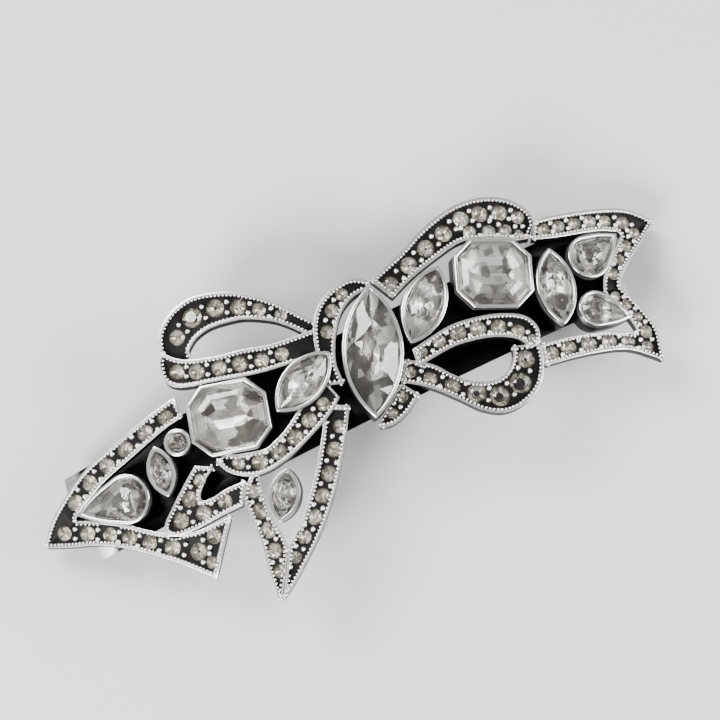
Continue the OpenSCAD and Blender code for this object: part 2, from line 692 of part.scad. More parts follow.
cut_stone("pear", lower_pear_set);  // lower_pear_stone
cut_stone("marquise", small_marq_set);  // small_marquise_stone
cut_stone("marquise", drop_set);  // drop_marquise_stone
cut_stone("round", round_set);  // round_stone
left_loop_stones();
left_tail_stones();
lower_tail_stones();
knot_stones();
right_loop_stones();
right_tail_stones();
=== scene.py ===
"""Looks of an arched bow hair clip: beaded silver ribbons, set stones and a steel barrette back."""

import logging
import math
import random
from dataclasses import dataclass, field
from enum import Enum
from typing import Callable, Iterable, Sequence

import bmesh
import bpy
import numpy as np
from mathutils import Matrix, Vector

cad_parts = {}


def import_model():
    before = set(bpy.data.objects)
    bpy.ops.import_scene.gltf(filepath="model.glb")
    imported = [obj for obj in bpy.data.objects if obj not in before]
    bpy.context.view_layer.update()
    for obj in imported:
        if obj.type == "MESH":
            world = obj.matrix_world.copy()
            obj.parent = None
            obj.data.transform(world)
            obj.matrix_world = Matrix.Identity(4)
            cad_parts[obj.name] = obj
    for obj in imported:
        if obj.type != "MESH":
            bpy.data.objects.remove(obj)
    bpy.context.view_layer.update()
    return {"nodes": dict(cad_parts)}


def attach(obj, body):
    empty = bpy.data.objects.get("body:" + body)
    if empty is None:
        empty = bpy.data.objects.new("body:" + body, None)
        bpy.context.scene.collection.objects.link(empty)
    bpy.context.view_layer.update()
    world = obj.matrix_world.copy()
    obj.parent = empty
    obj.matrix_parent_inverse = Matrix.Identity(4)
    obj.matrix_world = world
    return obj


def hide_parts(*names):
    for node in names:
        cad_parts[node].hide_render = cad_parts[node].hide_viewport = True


log = logging.getLogger("hair_clip")
MM = 0.001


# ---------------------------------------------------------------- the arch


@dataclass(frozen=True)
class Arch:
    """The cylinder that every bow piece follows.

    Attributes:
        radius: Radius under the bow, in metres.
        crown: Height of the crown over the rest face, in metres.
        plan_lift: Height over the arch at which plan positions are measured, in metres.
    """

    radius: float = 110 * MM
    crown: float = 12.2 * MM
    plan_lift: float = 2.4 * MM

    def seat(self, x: float, y: float, lift: float = 0.0) -> Matrix:
        """Gives the frame that stands square on the arch.

        Args:
            x: Place along the clip, in metres.
            y: Place across the clip, in metres.
            lift: Height over the arch, in metres.

        Returns:
            A matrix whose Z axis is the arch's normal there.
        """
        angle = math.asin(x / (self.radius + self.plan_lift))
        reach = self.radius + lift
        spot = Vector((reach * math.sin(angle), y, self.crown - self.radius + reach * math.cos(angle)))
        return Matrix.Translation(spot) @ Matrix.Rotation(angle, 4, "Y")

    def lift_of(self, point: Vector) -> float:
        """Gives a point's height over the arch."""
        return math.hypot(point.x, point.z - self.crown + self.radius) - self.radius

    def normal(self, point: Vector) -> Vector:
        """Gives the arch's outward normal under a point."""
        return Vector((point.x, 0.0, point.z - self.crown + self.radius)).normalized()


ARCH = Arch()


# ---------------------------------------------------------------- bench tools


def put_down_all() -> None:
    """Deselects everything and leaves edit mode."""
    if bpy.context.object and bpy.context.object.mode != "OBJECT":
        bpy.ops.object.mode_set(mode="OBJECT")
    bpy.ops.object.select_all(action="DESELECT")


def pick_up(piece: bpy.types.Object) -> None:
    """Makes one piece the only selected and active object."""
    put_down_all()
    piece.select_set(True)
    bpy.context.view_layer.objects.active = piece


def name_piece(piece: bpy.types.Object, name: str) -> bpy.types.Object:
    """Names a piece and its mesh alike."""
    piece.name = name
    piece.data.name = name
    return piece


def place_in_mesh(piece: bpy.types.Object, place: Matrix) -> None:
    """Moves a piece's mesh to its place, which leaves the object at the origin.

    Args:
        piece: The piece, modelled about the origin.
        place: Where it goes, in the clip's own frame.
    """
    piece.data.transform(place @ piece.matrix_world)
    piece.matrix_world = Matrix.Identity(4)


def finish_with(piece: bpy.types.Object, kind: str, **settings: object) -> None:
    """Adds one modifier to a piece and applies it.

    Args:
        piece: The piece to finish.
        kind: The modifier's type name.
        **settings: The modifier's own settings.
    """
    pick_up(piece)
    modifier = piece.modifiers.new(kind.lower(), kind)
    for key, value in settings.items():
        setattr(modifier, key, value)
    bpy.ops.object.modifier_apply(modifier=modifier.name)


def soften(piece: bpy.types.Object, width: float, segments: int = 2, angle: float = 32.0) -> None:
    """Rounds a piece's sharp edges and shades it smooth between them.

    Args:
        piece: The piece to soften.
        width: Width of the rounding, in metres.
        segments: Steps in the rounding.
        angle: Edges sharper than this, in degrees, are rounded.
    """
    finish_with(
        piece, "BEVEL", width=width, segments=segments, limit_method="ANGLE",
        angle_limit=math.radians(angle), use_clamp_overlap=True, harden_normals=False,
    )
    pick_up(piece)
    bpy.ops.object.shade_smooth_by_angle(angle=math.radians(38))


def ring_of(points: Sequence[tuple[float, float]], height: float) -> bpy.types.Object:
    """Lays a filled outline down from a circle primitive.

    Args:
        points: The outline, counter-clockwise, in metres.
        height: Height of the outline, in metres.

    Returns:
        An object with one face that has the outline's corners.
    """
    put_down_all()
    bpy.ops.mesh.primitive_circle_add(vertices=len(points), radius=MM, fill_type="NGON")
    piece = bpy.context.object
    loop = [piece.data.vertices[i] for i in piece.data.polygons[0].vertices]
    for corner, (x, y) in zip(loop, points):
        corner.co = (x, y, height)
    return piece


def hull_of(rings: Sequence[tuple[Sequence[tuple[float, float]], float]], name: str) -> bpy.types.Object:
    """Wraps facets round a stack of outlines, as a cutter lays facets round a stone.

    Args:
        rings: Each outline with its height, in metres.
        name: Name of the piece.

    Returns:
        The faceted piece, with flat faces joined.
    """
    put_down_all()
    bpy.ops.mesh.primitive_circle_add(vertices=3, radius=MM, fill_type="NOTHING")
    piece = bpy.context.object
    bpy.ops.object.mode_set(mode="EDIT")
    cut = bmesh.from_edit_mesh(piece.data)
    bmesh.ops.delete(cut, geom=list(cut.verts), context="VERTS")
    for points, height in rings:
        for x, y in points:
            cut.verts.new((x, y, height))
    bmesh.update_edit_mesh(piece.data)
    bpy.ops.mesh.select_all(action="SELECT")
    bpy.ops.mesh.convex_hull()
    bpy.ops.mesh.select_all(action="SELECT")
    bpy.ops.mesh.dissolve_limited(angle_limit=math.radians(1.5))
    bpy.ops.mesh.select_all(action="SELECT")
    bpy.ops.mesh.normals_make_consistent(inside=False)
    bpy.ops.object.mode_set(mode="OBJECT")
    return name_piece(piece, name)


def strew(name: str, pattern: bpy.types.Mesh, places: Sequence[Matrix], smooth: bool) -> bpy.types.Object:
    """Copies one small shape to many places as one piece.

    Args:
        name: Name of the piece.
        pattern: The shape, modelled once about the origin.
        places: Where each copy goes, sizes included.
        smooth: Whether the copies are shaded smooth.

    Returns:
        The piece that holds every copy.
    """
    corners = np.array([v.co for v in pattern.vertices])
    count = len(corners)
    spots = [corners @ np.array(m.to_3x3()).T + np.array(m.translation) for m in places]
    faces = [[i + count * k for i in p.vertices] for k in range(len(places)) for p in pattern.polygons]
    mesh = bpy.data.meshes.new(name)
    mesh.from_pydata(np.vstack(spots).tolist(), [], faces)
    for material in pattern.materials:
        mesh.materials.append(material)
    slots = [p.material_index for p in pattern.polygons] * len(places)
    mesh.polygons.foreach_set("material_index", slots)
    mesh.polygons.foreach_set("use_smooth", [smooth] * len(mesh.polygons))
    mesh.update()
    piece = bpy.data.objects.new(name, mesh)
    bpy.context.scene.collection.objects.link(piece)
    return piece


# ---------------------------------------------------------------- outlines


class Cut(Enum):
    """The outline of a large stone."""

    MARQUISE = "marquise"
    OCTAGON = "octagon"
    PEAR = "pear"
    ROUND = "round"


def marquise_points(length: float, width: float, side: int) -> list[tuple[float, float]]:
    """Gives a pointed oval made of two equal arcs, counter-clockwise.

    Args:
        length: Tip to tip.
        width: Across the middle.
        side: Steps along each arc.

    Returns:
        The outline's corners.
    """
    radius = (length ** 2 + width ** 2) / (4 * width)
    sweep = math.asin(length / (2 * radius))
    steps = [sweep - 2 * sweep * i / side for i in range(side)]
    top = [(radius * math.sin(a), radius * math.cos(a) - radius + width / 2) for a in steps]
    return top + [(-x, -y) for x, y in top]


def octagon_points(length: float, width: float, corner: float) -> list[tuple[float, float]]:
    """Gives a rectangle with cut corners, counter-clockwise."""
    a, b = length / 2, width / 2
    c = corner
    return [(a, -b + c), (a, b - c), (a - c, b), (-a + c, b), (-a, b - c), (-a, -b + c), (-a + c, -b), (a - c, -b)]


def pear_points(length: float, width: float, side: int) -> list[tuple[float, float]]:
    """Gives a drop with its round end at the origin and its tip towards +X, counter-clockwise.

    Args:
        length: Round end to tip.
        width: Across the round end.
        side: Steps round the round end.

    Returns:
        The outline's corners.
    """
    radius = width / 2
    reach = length - radius
    open_half = math.acos(radius / reach)
    arc = [open_half + (2 * math.pi - 2 * open_half) * i / side for i in range(side + 1)]
    points = [(radius * math.cos(a), radius * math.sin(a)) for a in arc]
    edge = (radius * math.cos(open_half), radius * math.sin(open_half))
    flank = [0.25, 0.5, 0.75]
    swell = [0.05 * width * math.sin(math.pi * k) for k in flank]
    low = [(edge[0] + (reach - edge[0]) * k, -edge[1] * (1 - k) - s) for k, s in zip(flank, swell)]
    high = [(reach + (edge[0] - reach) * k, edge[1] * k + s) for k, s in zip(flank, swell)]
    return points + low + [(reach, 0.0)] + high


def outline(cut: Cut, length: float, width: float, fine: int) -> list[tuple[float, float]]:
    """Gives a large stone's outline.

    Args:
        cut: Which outline.
        length: Along its own X.
        width: Along its own Y.
        fine: Steps round it, more or less.

    Returns:
        The outline's corners, counter-clockwise.
    """
    if cut is Cut.MARQUISE:
        return marquise_points(length, width, fine // 2)
    if cut is Cut.OCTAGON:
        return octagon_points(length, width, 0.217 * length)
    if cut is Cut.PEAR:
        return pear_points(length, width, max(fine - 7, 7))
    return [(length / 2 * math.cos(2 * math.pi * i / fine), length / 2 * math.sin(2 * math.pi * i / fine)) for i in range(fine)]


def shrunk(points: Sequence[tuple[float, float]], by: float, turn: float = 0.0) -> list[tuple[float, float]]:
    """Scales an outline about its middle, stepping part of the way to each next corner.

    Args:
        points: The outline.
        by: Scale.
        turn: Share of the way from each corner to the next, from 0 to 1.

    Returns:
        The smaller outline.
    """
    mid_x = sum(p[0] for p in points) / len(points)
    mid_y = sum(p[1] for p in points) / len(points)
    after = list(points[1:]) + [points[0]]
    stepped = [(p[0] + (q[0] - p[0]) * turn, p[1] + (q[1] - p[1]) * turn) for p, q in zip(points, after)]
    return [(mid_x + (x - mid_x) * by, mid_y + (y - mid_y) * by) for x, y in stepped]


# ---------------------------------------------------------------- finishes


class Nodes:
    """Short ways to lay out a material's nodes."""

    def __init__(self, tree: bpy.types.NodeTree) -> None:
        """Keeps the tree that the nodes go in."""
        self.tree = tree

    def add(self, kind: str, **values: object) -> bpy.types.Node:
        """Adds a node.

        Args:
            kind: The node's type name.
            **values: Settings of the node.

        Returns:
            The node.
        """
        node = self.tree.nodes.new(kind)
        for key, value in values.items():
            setattr(node, key, value)
        return node

    def join(self, out: bpy.types.NodeSocket, into: bpy.types.NodeSocket) -> None:
        """Links one socket to another."""
        self.tree.links.new(out, into)

    def sum(self, operation: str, *terms: object) -> bpy.types.NodeSocket:
        """Adds a math node.

        Args:
            operation: The math operation's name.
            *terms: Sockets or numbers, in order.

        Returns:
            The result's socket.
        """
        node = self.add("ShaderNodeMath", operation=operation)
        for i, term in enumerate(terms):
            if isinstance(term, (int, float)):
                node.inputs[i].default_value = term
            else:
                self.join(term, node.inputs[i])
        return node.outputs[0]

    def fade(self, value: bpy.types.NodeSocket, low: object, high: object) -> bpy.types.NodeSocket:
        """Adds a smooth ramp that goes from 0 at low to 1 at high."""
        node = self.add("ShaderNodeMapRange", interpolation_type="SMOOTHSTEP")
        self.join(value, node.inputs["Value"])
        for key, term in (("From Min", low), ("From Max", high)):
            if isinstance(term, (int, float)):
                node.inputs[key].default_value = term
            else:
                self.join(term, node.inputs[key])
        return node.outputs["Result"]

    def blend(self, share: bpy.types.NodeSocket, a: object, b: object) -> bpy.types.NodeSocket:
        """Mixes two colours by a share."""
        node = self.add("ShaderNodeMix", data_type="RGBA")
        self.join(share, node.inputs["Factor"])
        for socket, term in ((node.inputs[6], a), (node.inputs[7], b)):
            if isinstance(term, tuple):
                socket.default_value = (*term, 1.0)
            else:
                self.join(term, socket)
        return node.outputs[2]


def socket_into(tree: bpy.types.NodeTree, name: str, kind: str, value: float | None = None) -> None:
    """Adds an input socket to a node group."""
    made = tree.interface.new_socket(name, in_out="INPUT", socket_type=kind)
    if value is not None:
        made.default_value = value


def tarnish_group() -> bpy.types.NodeTree:
    """Builds the tarnish group: black low down between beads and stones, rubbed bright on top.

    Returns:
        A node group that puts out a tarnish mask, a grime mask and a bump height.
    """
    tree = bpy.data.node_groups.new("tarnish", "ShaderNodeTree")
    socket_into(tree, "Top", "NodeSocketFloat", 2.4 * MM)
    socket_into(tree, "Depth", "NodeSocketFloat", 0.4 * MM)
    socket_into(tree, "Patchiness", "NodeSocketFloat", 0.3)
    for name in ("Tarnish", "Grime", "Height"):
        tree.interface.new_socket(name, in_out="OUTPUT", socket_type="NodeSocketFloat")
    n = Nodes(tree)
    into = n.add("NodeGroupInput")
    out = n.add("NodeGroupOutput")
    place = n.add("ShaderNodeTexCoord").outputs["Object"]
    split = n.add("ShaderNodeSeparateXYZ")
    n.join(place, split.inputs[0])
    down = n.sum("SUBTRACT", split.outputs["Z"], ARCH.crown - ARCH.radius)
    reach = n.sum("SQRT", n.sum("ADD", n.sum("MULTIPLY", split.outputs["X"], split.outputs["X"]), n.sum("MULTIPLY", down, down)))
    lift = n.sum("SUBTRACT", reach, ARCH.radius)
    patches = n.add("ShaderNodeTexNoise")
    patches.inputs["Scale"].default_value = 900.0
    patches.inputs["Detail"].default_value = 4.0
    n.join(place, patches.inputs["Vector"])
    wobble = n.sum("MULTIPLY", n.sum("SUBTRACT", patches.outputs[0], 0.5), n.sum("MULTIPLY", into.outputs["Patchiness"], into.outputs["Depth"]))
    level = n.sum("ADD", lift, wobble)
    floor = n.sum("SUBTRACT", into.outputs["Top"], into.outputs["Depth"])
    bright = n.fade(level, floor, into.outputs["Top"])
    n.join(n.sum("SUBTRACT", 1.0, bright), out.inputs["Tarnish"])
    fine = n.add("ShaderNodeTexNoise")
    fine.inputs["Scale"].default_value = 4200.0
    fine.inputs["Detail"].default_value = 3.0
    n.join(place, fine.inputs["Vector"])
    n.join(n.fade(fine.outputs[0], 0.42, 0.68), out.inputs["Grime"])
    n.join(fine.outputs[0], out.inputs["Height"])
    return tree


@dataclass(frozen=True)
class CastSilver:
    """Antique silver plate: bright where rubbed, black where it can't be.

    Attributes:
        name: Name of the material.
        top: Height of the piece's top over the arch, in metres.
        depth: How far below the top it has gone black, in metres.
        bright: Colour of the rubbed metal.
        black: Colour of the tarnish.
        polish: Roughness of the rubbed metal.
        grime: Share of fine dark specks on the rubbed metal.
    """

    name: str
    top: float
    depth: float
    bright: tuple[float, float, float] = (0.82, 0.785, 0.725)
    black: tuple[float, float, float] = (0.004, 0.0035, 0.003)
    polish: float = 0.2
    grime: float = 0.25
    slot: str = "antique_silver"

    def make(self, tarnish: bpy.types.NodeTree) -> bpy.types.Material:
        """Builds the material.

        Args:
            tarnish: The shared tarnish group.

        Returns:
            The material.
        """
        material = bpy.data.materials.new(self.name)
        material.use_nodes = True
        n = Nodes(material.node_tree)
        skin = material.node_tree.nodes["Principled BSDF"]
        group = n.add("ShaderNodeGroup", node_tree=tarnish)
        group.inputs["Top"].default_value = self.top
        group.inputs["Depth"].default_value = self.depth
        specks = n.sum("MULTIPLY", group.outputs["Grime"], self.grime)
        mask = n.sum("MAXIMUM", group.outputs["Tarnish"], specks)
        n.join(n.blend(mask, self.bright, self.black), skin.inputs["Base Color"])
        n.join(n.sum("ADD", n.sum("MULTIPLY", mask, 0.3), self.polish), skin.inputs["Roughness"])
        n.join(n.sum("SUBTRACT", 1.0, n.sum("MULTIPLY", mask, 0.2)), skin.inputs["Metallic"])
        bump = n.add("ShaderNodeBump")
        bump.inputs["Strength"].default_value = 0.25
        bump.inputs["Distance"].default_value = 0.02 * MM
        n.join(group.outputs["Height"], bump.inputs["Height"])
        n.join(bump.outputs[0], skin.inputs["Normal"])
        return material


@dataclass(frozen=True)
class RolledSteel:
    """Plated steel strip with fine drawn lines along X.

    Attributes:
        name: Name of the material.
        tone: Colour of the metal.
        polish: Roughness of the metal.
        covered: Half length that the bow covers, where the strip's top is painted dark as shade under the bow, in
            metres.
    """

    name: str
    tone: tuple[float, float, float] = (0.60, 0.60, 0.61)
    polish: float = 0.27
    covered: float = 0.0

    def make(self) -> bpy.types.Material:
        """Builds the material and returns it."""
        material = bpy.data.materials.new(self.name)
        material.use_nodes = True
        n = Nodes(material.node_tree)
        skin = material.node_tree.nodes["Principled BSDF"]
        skin.inputs["Metallic"].default_value = 1.0
        stretch = n.add("ShaderNodeMapping")
        stretch.inputs["Scale"].default_value = (60.0, 4200.0, 4200.0)
        n.join(n.add("ShaderNodeTexCoord").outputs["Object"], stretch.inputs["Vector"])
        lines = n.add("ShaderNodeTexNoise")
        lines.inputs["Scale"].default_value = 1.0
        lines.inputs["Detail"].default_value = 3.0
        n.join(stretch.outputs[0], lines.inputs["Vector"])
        dull = n.fade(lines.outputs[0], 0.35, 0.7)
        darker = tuple(0.62 * c for c in self.tone)
        metal = n.blend(dull, self.tone, darker)
        if self.covered:
            # Painted shade: the strip's top under the bow is painted near black, standing in for the shade there.
            metal = n.blend(self.painted_shade_under_bow(n), metal, (0.006, 0.0055, 0.005))
        n.join(metal, skin.inputs["Base Color"])
        n.join(n.sum("ADD", n.sum("MULTIPLY", dull, 0.16), self.polish), skin.inputs["Roughness"])
        bump = n.add("ShaderNodeBump")
        bump.inputs["Strength"].default_value = 0.12
        bump.inputs["Distance"].default_value = 0.02 * MM
        n.join(lines.outputs[0], bump.inputs["Height"])
        n.join(bump.outputs[0], skin.inputs["Normal"])
        return material


    def painted_shade_under_bow(self, n: Nodes) -> bpy.types.NodeSocket:
        """Masks the strip's upper side where the bow covers it, for painted shade under the bow.

        Args:
            n: The material's nodes.

        Returns:
            A mask that is 1 where the metal is painted dark as shade under the bow.
        """
        split = n.add("ShaderNodeSeparateXYZ")
        n.join(n.add("ShaderNodeTexCoord").outputs["Object"], split.inputs[0])
        down = n.sum("SUBTRACT", split.outputs["Z"], ARCH.crown - ARCH.radius)
        along = split.outputs["X"]
        reach = n.sum("SQRT", n.sum("ADD", n.sum("MULTIPLY", along, along), n.sum("MULTIPLY", down, down)))
        upper = n.fade(reach, ARCH.radius - 0.6 * MM, ARCH.radius - 0.4 * MM)
        inner = n.sum("SUBTRACT", 1.0, n.fade(n.sum("ABSOLUTE", along), self.covered - 1.5 * MM, self.covered))
        return n.sum("MULTIPLY", upper, inner)


@dataclass(frozen=True)
class CutGlass:
    """Clear cut glass with a faint warm tone.

    Attributes:
        name: Name of the material.
        tint: Colour of the glass.
        ior: How strongly it bends light.
    """

    name: str
    tint: tuple[float, float, float]
    ior: float = 1.62

    def make(self) -> bpy.types.Material:
        """Builds the material and returns it."""
        material = bpy.data.materials.new(self.name)
        material.use_nodes = True
        n = Nodes(material.node_tree)
        skin = material.node_tree.nodes["Principled BSDF"]
        skin.inputs["Transmission Weight"].default_value = 1.0
        skin.inputs["IOR"].default_value = self.ior
        haze = n.add("ShaderNodeTexNoise")
        haze.inputs["Scale"].default_value = 700.0
        n.join(n.add("ShaderNodeTexCoord").outputs["Object"], haze.inputs["Vector"])
        greyer = tuple(0.9 * c for c in self.tint)
        n.join(n.blend(haze.outputs[0], self.tint, greyer), skin.inputs["Base Color"])
        n.join(n.sum("MULTIPLY", haze.outputs[0], 0.02), skin.inputs["Roughness"])
        return material


@dataclass(frozen=True)
class FoilBack:
    """The mirror foil on a stone's pointed back, with painted reflections: each facet painted lighter or darker, with
    painted glints.

    Attributes:
        name: Name of the material.
        light: Colour of the facets painted brightest, a painted reflection.
        dark: Colour of the facets painted darkest, a painted reflection.
        polish: Roughness of the foil.
        painted_glints: How many patches of painted glint there are to a metre.
    """

    name: str
    light: tuple[float, float, float]
    dark: tuple[float, float, float]
    polish: float = 0.24
    painted_glints: float = 650.0

    def make(self) -> bpy.types.Material:
        """Builds the material and returns it."""
        material = bpy.data.materials.new(self.name)
        material.use_nodes = True
        n = Nodes(material.node_tree)
        skin = material.node_tree.nodes["Principled BSDF"]
        skin.inputs["Metallic"].default_value = 0.8
        facet = n.add("ShaderNodeAttribute", attribute_name="painted_facet_reflection")
        # Painted glints: Voronoi cells that brighten patches of the foil as painted flashes of reflection.
        painted_glints = n.add("ShaderNodeTexVoronoi", distance="CHEBYCHEV")
        painted_glints.inputs["Scale"].default_value = self.painted_glints
        n.join(n.add("ShaderNodeTexCoord").outputs["Object"], painted_glints.inputs["Vector"])
        split = n.add("ShaderNodeSeparateColor")
        n.join(painted_glints.outputs["Color"], split.inputs[0])
        painted_flash = n.fade(split.outputs[0], 0.15, 0.55)
        # Painted reflection: each facet's painted tone, times the painted glints, sets the foil's colour.
        tone = n.sum("MULTIPLY", facet.outputs["Fac"], n.sum("ADD", n.sum("MULTIPLY", painted_flash, 0.85), 0.15))
        n.join(n.blend(tone, self.dark, self.light), skin.inputs["Base Color"])
        skin.inputs["Roughness"].default_value = self.polish
        return material


# ---------------------------------------------------------------- the bow's silver


@dataclass
class Ribbons:
    """The bow's cast ribbons: their levels, their finish and their milled edge of beads.

    Attributes:
        levels: Height of each ribbon's rims over the arch, in metres.
        usual: Height of the rims of every other ribbon.
        plain_rims: How far in the bead edge stands on ribbons with a broad plain rim.
        bead: Radius of a bead of the milled edge.
        pitch: Distance between two of its beads.
        inset: How far in from the ribbon's edge the beads stand.
        shortest: Edges shorter than this have no beads.
    """

    levels: dict[str, float] = field(default_factory=lambda: {
        "left_loop_lower_ribbon": 2.6 * MM, "left_tail_fold": 2.6 * MM, "right_loop_ring": 2.6 * MM,
        "left_loop_front_ribbon": 2.8 * MM, "right_loop_near_ribbon": 2.8 * MM, "knot_collar_left": 3.1 * MM,
    })
    usual: float = 2.4 * MM
    plain_rims: dict[str, float] = field(default_factory=lambda: {"right_loop_upper_ribbon": 0.46 * MM})
    bead: float = 0.2 * MM
    pitch: float = 0.52 * MM
    inset: float = 0.42 * MM
    shortest: float = 1.3 * MM
    finishes: dict[float, bpy.types.Material] = field(default_factory=dict)
    bead_finishes: dict[float, bpy.types.Material] = field(default_factory=dict)
    grain_finishes: dict[float, bpy.types.Material] = field(default_factory=dict)

    def level(self, node: str) -> float:
        """Gives the height of a ribbon's rims over the arch."""
        return self.levels.get(node, self.usual)

    def finish_for(self, level: float, tarnish: bpy.types.NodeTree) -> bpy.types.Material:
        """Gives the ribbon finish for a rim height, made on first use."""
        if level not in self.finishes:
            name = f"cast_silver_{round(level / MM * 10)}"
            self.finishes[level] = CastSilver(name, level, 0.3 * MM, polish=0.24, grime=0.35).make(tarnish)
        return self.finishes[level]

    def bead_finish_for(self, level: float, tarnish: bpy.types.NodeTree) -> bpy.types.Material:
        """Gives the bead finish for a rim height, made on first use."""
        if level not in self.bead_finishes:
            name = f"bead_silver_{round(level / MM * 10)}"
            made = CastSilver(name, level + 0.2 * MM, 0.42 * MM, bright=(0.9, 0.89, 0.87), polish=0.14, grime=0.08)
            self.bead_finishes[level] = made.make(tarnish)
        return self.bead_finishes[level]

    def grain_finish_for(self, level: float, tarnish: bpy.types.NodeTree) -> bpy.types.Material:
        """Gives the finish of the grains between stones for a rim height, made on first use."""
        if level not in self.grain_finishes:
            name = f"grain_silver_{round(level / MM * 10)}"
            made = CastSilver(name, level - 0.02 * MM, 0.34 * MM, bright=(0.95, 0.94, 0.92), polish=0.1, grime=0.04)
            self.grain_finishes[level] = made.make(tarnish)
        return self.grain_finishes[level]

    def bead_shape(self) -> bpy.types.Mesh:
        """Models one bead: a small ball cut off flat where it sinks into the metal."""
        put_down_all()
        bpy.ops.mesh.primitive_uv_sphere_add(segments=9, ring_count=6, radius=1.0)
        ball = bpy.context.object
        bpy.ops.object.mode_set(mode="EDIT")
        bpy.ops.mesh.select_all(action="SELECT")
        bpy.ops.mesh.bisect(plane_co=(0, 0, -0.5), plane_no=(0, 0, 1), clear_inner=True, use_fill=True)
        bpy.ops.object.mode_set(mode="OBJECT")
        shape = ball.data.copy()
        bpy.data.objects.remove(ball)
        return shape

    def outer_chains(self, node: bpy.types.Object, level: float) -> list[list[tuple[Vector, Vector]]]:
        """Finds a ribbon's outer top edges.

        Args:
            node: The ribbon.
            level: Height of its rims over the arch.

        Returns:
            Runs of points, each point with the direction in towards the rim.
        """
        work = bmesh.new()
        work.from_mesh(node.data)
        bmesh.ops.remove_doubles(work, verts=work.verts, dist=0.002 * MM)
        near: dict[int, list[tuple[int, Vector]]] = {}
        for edge in work.edges:
            if len(edge.link_faces) != 2:
                continue
            if any(abs(ARCH.lift_of(v.co) - level) > 0.04 * MM for v in edge.verts):
                continue
            up = ARCH.normal(edge.verts[0].co)
            faces = sorted(edge.link_faces, key=lambda f: -f.normal.dot(up))
            deep = min(ARCH.lift_of(v.co) for v in faces[1].verts)
            if faces[0].normal.dot(up) < 0.9 or abs(faces[1].normal.dot(up)) > 0.4 or deep > 0.6 * MM:
                continue
            inward = -faces[1].normal.normalized()
            a, b = edge.verts
            near.setdefault(a.index, []).append((b.index, inward))
            near.setdefault(b.index, []).append((a.index, inward))
        work.verts.ensure_lookup_table()
        places = [v.co.copy() for v in work.verts]
        work.free()
        return self.split_at_corners(near, places)

    def split_at_corners(self, near: dict[int, list[tuple[int, Vector]]], places: Sequence[Vector]) -> list[list[tuple[Vector, Vector]]]:
        """Joins edges into runs that stop at corners.

        Args:
            near: For each corner point, its neighbours and the inward direction.
            places: Where each point is.

        Returns:
            Runs of points, each with its inward direction.
        """
        used: set[tuple[int, int]] = set()
        runs = []

        def walk(start: int, step: tuple[int, Vector]) -> list[tuple[Vector, Vector]]:
            """Follows the edge from a point until it ends or turns a corner."""
            run = [(places[start], step[1])]
            here, ahead = start, step
            while True:
                used.add((min(here, ahead[0]), max(here, ahead[0])))
                run.append((places[ahead[0]], ahead[1]))
                way = (places[ahead[0]] - places[here]).normalized()
                onward = [s for s in near[ahead[0]] if (min(ahead[0], s[0]), max(ahead[0], s[0])) not in used]
                onward = [s for s in onward if (places[s[0]] - places[ahead[0]]).normalized().dot(way) > 0.72]
                if not onward:
                    return run
                here, ahead = ahead[0], onward[0]

        for start, steps in near.items():
            for step in steps:
                if (min(start, step[0]), max(start, step[0])) in used:
                    continue
                forward = walk(start, step)
                first = (forward[1][0] - forward[0][0]).normalized()
                back = [s for s in near[start] if (min(start, s[0]), max(start, s[0])) not in used]
                back = [s for s in back if (places[s[0]] - places[start]).normalized().dot(first) < -0.72]
                backward = walk(start, back[0]) if back else []
                runs.append(list(reversed(backward))[:-1] + forward if backward else forward)
        return runs

    def bead_places(self, run: Sequence[tuple[Vector, Vector]], level: float, inset: float) -> list[Matrix]:
        """Spaces beads evenly along a run of a ribbon's edge.

        Args:
            run: The run's points, each with its inward direction.
            level: Height of the rims over the arch.
            inset: How far in the beads stand.

        Returns:
            Where each bead goes, size included.
        """
        spots = [p + inward * inset for p, inward in run]
        lengths = [0.0]
        for a, b in zip(spots, spots[1:]):
            lengths.append(lengths[-1] + (b - a).length)
        if lengths[-1] < self.shortest:
            return []
        count = max(int(lengths[-1] / self.pitch), 1)
        places = []
        for k in range(count + 1):
            reach = lengths[-1] * k / count
            i = min(max(int(np.searchsorted(lengths, reach)) - 1, 0), len(spots) - 2)
            share = (reach - lengths[i]) / max(lengths[i + 1] - lengths[i], 1e-9)
            spot = spots[i].lerp(spots[i + 1], share)
            up = ARCH.normal(spot)
            spot = spot + up * (level - 0.04 * MM - ARCH.lift_of(spot))
            turn = up.to_track_quat("Z", "X").to_matrix().to_4x4()
            places.append(Matrix.Translation(spot) @ turn @ Matrix.Scale(self.bead, 4))
        return places

    def dress(self, nodes: dict[str, bpy.types.Object], tarnish: bpy.types.NodeTree) -> None:
        """Finishes the ribbons and lays their bead edges.

        Args:
            nodes: The CAD nodes by name.
            tarnish: The shared tarnish group.
        """
        shape = self.bead_shape()
        for name, node in nodes.items():
            if not name.endswith(("_ribbon", "_band", "_fold", "_ring", "_upper", "_lower")) and not name.startswith("knot_collar"):
                continue
            level = self.level(name)
            node.data.materials.clear()
            node.data.materials.append(self.finish_for(level, tarnish))
            weld = node.modifiers.new("weld", "WELD")
            weld.merge_threshold = 0.002 * MM
            bevel = node.modifiers.new("worn_edges", "BEVEL")
            bevel.width = 0.07 * MM
            bevel.segments = 2
            bevel.limit_method = "ANGLE"
            bevel.angle_limit = math.radians(35)
            inset = self.plain_rims.get(name, self.inset)
            places = [m for run in self.outer_chains(node, level) for m in self.bead_places(run, level, inset)]
            if not places:
                log.info("%s has no bead edge", name)
                continue
            shape.materials.clear()
            shape.materials.append(self.bead_finish_for(level, tarnish))
            beads = strew(f"{name}_beads", shape, places, smooth=True)
            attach(beads, "bow_and_plate")
            log.info("%s: %d beads on its edge", name, len(places))


